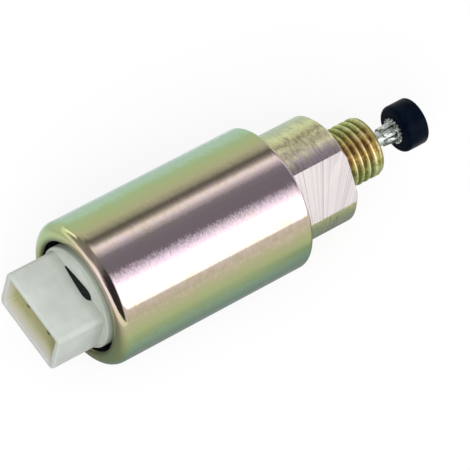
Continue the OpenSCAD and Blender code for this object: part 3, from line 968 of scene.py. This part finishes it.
def soften_mouth(part, half_w, half_h, rounding, inside):
    """Rounds the mouth's edges: those round the socket if inside is set, else those round the block."""
    edit(part)

    def on_rim(edge):
        """Tells whether an edge lies in the mouth's face, is sharp, and is one of those asked for."""
        spot = middle(edge)
        flat = all(abs(vertex.co.x / MM - MOUTH) < 0.001 for vertex in edge.verts)
        within = abs(spot.y) < half_w + 0.01 and abs(spot.z) < half_h + 0.01
        return flat and edge.calc_face_angle(0) > 0.7 and within == inside

    pick(part, "edges", on_rim)
    bpy.ops.mesh.bevel(offset=rounding * MM, segments=4, affect="EDGES")
    return close(part)


def connector():
    """Nylon moulding: the block with its socket, on its round foot and the round base in the can."""
    half_w = BLOCK_W / 2
    half_h = BLOCK_H / 2
    socket_w = half_w - BLOCK_WALL
    socket_h = half_h - BLOCK_WALL
    socket_end = MOUTH + SOCKET_DEPTH
    part = rounded_block(
        "connector_moulding", (MOUTH, -half_w, -half_h), (SEAL_FRONT + SINK, half_w, half_h), BLOCK_ROUND)
    combine(part, rounded_block(
        "socket_cutter", (MOUTH - 1, -socket_w, -socket_h), (socket_end, socket_w, socket_h),
        SOCKET_ROUND))
    soften_mouth(part, socket_w, socket_h, MOUTH_INNER_ROUND, inside=True)
    soften_mouth(part, socket_w, socket_h, MOUTH_OUTER_ROUND, inside=False)
    base = turned("connector_base", [
        (SEAL_FRONT, 0, 0, 0),
        (SEAL_FRONT, COLLAR_R, 0.2, 2),
        (BASE_FRONT, COLLAR_R, 0.2, 2),
        (BASE_FRONT, COLLAR_R - BASE_WALL, 0, 0),
        (BASE_FRONT - BASE_HOLLOW, COLLAR_R - BASE_WALL, 0, 0),
        (BASE_FRONT - BASE_HOLLOW, 0, 0, 0),
    ])
    combine(part, base, "UNION")
    foot = turned("connector_foot", [
        (FOOT_REAR, 0, 0, 0),
        (FOOT_REAR, FOOT_R, 0.35, 4),
        (SEAL_FRONT + SINK, FOOT_R, 0, 0),
        (SEAL_FRONT + SINK, 0, 0, 0),
    ])
    clear_w = socket_w + SOCKET_CLEAR
    clear_h = socket_h + SOCKET_CLEAR
    combine(foot, rounded_block(
        "socket_clearance", (FOOT_REAR - 1, -clear_w, -clear_h), (SEAL_FRONT, clear_w, clear_h),
        SOCKET_ROUND))
    combine(part, foot, "UNION")
    for blade in ("terminal_right", "terminal_left"):
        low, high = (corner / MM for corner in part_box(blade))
        combine(part, block("blade_slot", (socket_end - SINK, low.y, low.z), (SEAL_FRONT, high.y, high.z)))
        combine(part, block(
            "tail_slot", (SEAL_FRONT - 0.2, low.y, -TAIL_HALF), (BASE_FRONT, high.y, TAIL_HALF)))
    for material in (white_nylon(), socket_nylon()):
        part.data.materials.append(material)
    for face in part.data.polygons:
        spot = face.center / MM
        inside = abs(spot.y) < socket_w + GAP and abs(spot.z) < socket_h + GAP
        if inside and MOUTH + 0.15 < spot.x < socket_end + 0.1:
            face.material_index = 1
    return finish_piece(part, "housing", "white_nylon", None, "connector_housing")


def gasket():
    """Rubber gasket under the lip, round the connector's foot."""
    disc = SEAL_FRONT - GASKET_T
    part = turned("end_gasket", [
        (SEAL_REAR, GASKET_R, 0.15, 3),
        (SEAL_REAR, COLLAR_R - GASKET_STEP, 0, 0),
        (SEAL_REAR + GASKET_STEP, COLLAR_R - GASKET_STEP, 0, 0),
        (SEAL_REAR + GASKET_STEP, COLLAR_R, 0, 0),
        (SEAL_FRONT, COLLAR_R, 0, 0),
        (SEAL_FRONT, FOOT_R + GAP, 0, 0),
        (disc, FOOT_R + GAP, 0, 0),
        (disc, GASKET_R, 0, 0),
    ])
    return finish_piece(part, "housing", "black_rubber", black_rubber(), "end_seal")


def black_stroke():
    """A tapered black stroke along the corner between the connector's wide face and its foot."""
    top = BLOCK_H / 2
    part = block("black_stroke", (FOOT_REAR - 1, STROKE_END, top), (FOOT_REAR, STROKE_TIP, top + STROKE_SKIN))
    upright = block("black_stroke_upright", (FOOT_REAR - STROKE_SKIN, STROKE_END, top), (FOOT_REAR, STROKE_TIP, top + 1))
    for piece in (part, upright):
        edit(piece)
        bpy.ops.mesh.select_all(action="SELECT")
        bpy.ops.mesh.subdivide(number_cuts=23)
        close(piece)
        for vertex in piece.data.vertices:
            along = max(0.0, (vertex.co.y / MM - STROKE_END) / (STROKE_TIP - STROKE_END))
            blunt = math.sqrt(1 - max(0.0, 1 - along / STROKE_BLUNT) ** 2)
            width = max(blunt * STROKE_WIDTH * (1 - STROKE_TAPER * along ** STROKE_CURVE), STROKE_LEAST)
            if piece is part:
                vertex.co.x = FOOT_REAR * MM + (vertex.co.x - FOOT_REAR * MM) * width
            else:
                vertex.co.z = top * MM + (vertex.co.z - top * MM) * width * STROKE_RISE
    combine(part, upright, "UNION")
    return finish_piece(part, "housing", "black_rubber", matt_black())


def rod():
    """Plunger rod, with the button that the tip is moulded over."""
    part = turned("rod", [
        (ROD_REAR, 0, 0, 0),
        (ROD_REAR, ROD_R, 0.2, 2),
        (BUTTON_X, ROD_R, 0, 0),
        (BUTTON_X, BUTTON_R, 0.2, 3),
        (ROD_FRONT, BUTTON_R, 0.2, 3),
        (ROD_FRONT, 0, 0, 0),
    ], segments=64)
    return finish_piece(part, "plunger", "bright_steel", bright_steel(), "plunger_rod")


def retainer():
    """Push-on retainer: a toothed rim, and fingers that close in on the rod with slots between them."""
    rim_x = TIP_REAR - GAP - RIM_T
    root = RETAINER_R - TOOTH_H
    part = turned("push_on_retainer", [
        (RETAINER_REAR, ROD_R + GAP, 0.06, 2),
        (RETAINER_REAR, ROD_R + COLLAR_T, 0.1, 3),
        (rim_x + RIM_LAP, root, 0, 0),
        (rim_x + RIM_LAP, root - CONE_T, 0, 0),
    ], segments=96)
    rim = turned("rim", [
        (rim_x, ROD_R + COLLAR_T, 0.05, 1),
        (rim_x, RETAINER_R, 0.1, 3),
        (rim_x + RIM_T, RETAINER_R, 0.1, 3),
        (rim_x + RIM_T, ROD_R + COLLAR_T, 0, 0),
    ], segments=96)
    for vertex in rim.data.vertices:
        radius = math.hypot(vertex.co.y, vertex.co.z) / MM
        turn = math.atan2(vertex.co.z, vertex.co.y)
        wave = 0.5 - 0.5 * math.cos(turn * TEETH)
        scale = 1 - wave * TOOTH_H / RETAINER_R if radius > root else 1
        vertex.co.y *= scale
        vertex.co.z *= scale
    combine(part, rim, "UNION")
    for finger in range(FINGERS):
        slot = block(
            "slot", (RETAINER_REAR - 1, -SLOT_HALF, 0), (rim_x - RIM_LAP, SLOT_HALF, RETAINER_R + 1))
        for vertex in slot.data.vertices:
            vertex.co.y *= SLOT_NARROW if vertex.co.x < RETAINER_REAR * MM else SLOT_WIDE
        slot.data.transform(Matrix.Rotation(finger * math.tau / FINGERS, 4, "X"))
        combine(part, slot)
    soften(part, 0.03)
    return finish_piece(part, "plunger", "bright_steel", crimped_steel(), "tip_retainer")


def tip():
    """Rubber sealing tip, moulded over the rod's button."""
    part = turned("sealing_tip", [
        (TIP_REAR, ROD_R + GAP, 0, 0),
        (TIP_REAR, TIP_R, 0.7, 8),
        (TIP_FRONT, TIP_R, 0.4, 6),
        (TIP_FRONT, 0, 0, 0),
        (ROD_FRONT + GAP, 0, 0, 0),
        (ROD_FRONT + GAP, BUTTON_R + GAP, 0, 0),
        (BUTTON_X - GAP, BUTTON_R + GAP, 0, 0),
        (BUTTON_X - GAP, ROD_R + GAP, 0, 0),
    ], segments=128)
    return finish_piece(part, "plunger", "tip_rubber", tip_rubber(), "seal_tip")


def inner_pieces():
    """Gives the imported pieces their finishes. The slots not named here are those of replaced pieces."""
    finishes = {
        "black_rubber": black_rubber(),
        "brass": drawn_metal("brass", tone(214, 182, 112), 0.28),
        "core_steel": drawn_metal("core_steel", tone(176, 176, 174), 0.32),
        "bright_steel": bright_steel(),
        "bobbin_plastic": moulded_black(),
        "magnet_wire": drawn_metal("magnet_wire", tone(196, 120, 74), 0.22),
        "wrap_film": wrap_film(),
        "white_nylon": white_nylon(),
        "tinned_blade": drawn_metal("tinned_blade", tone(150, 146, 112), 0.35),
    }
    for record in frame["record"]["subparts"]:
        part = frame["nodes"][record["node"]]
        if record["material_slot"] in finishes:
            part.data.materials.clear()
            part.data.materials.append(finishes[record["material_slot"]])


can()
mounting_body()
connector()
gasket()
black_stroke()
rod()
retainer()
tip()
inner_pieces()
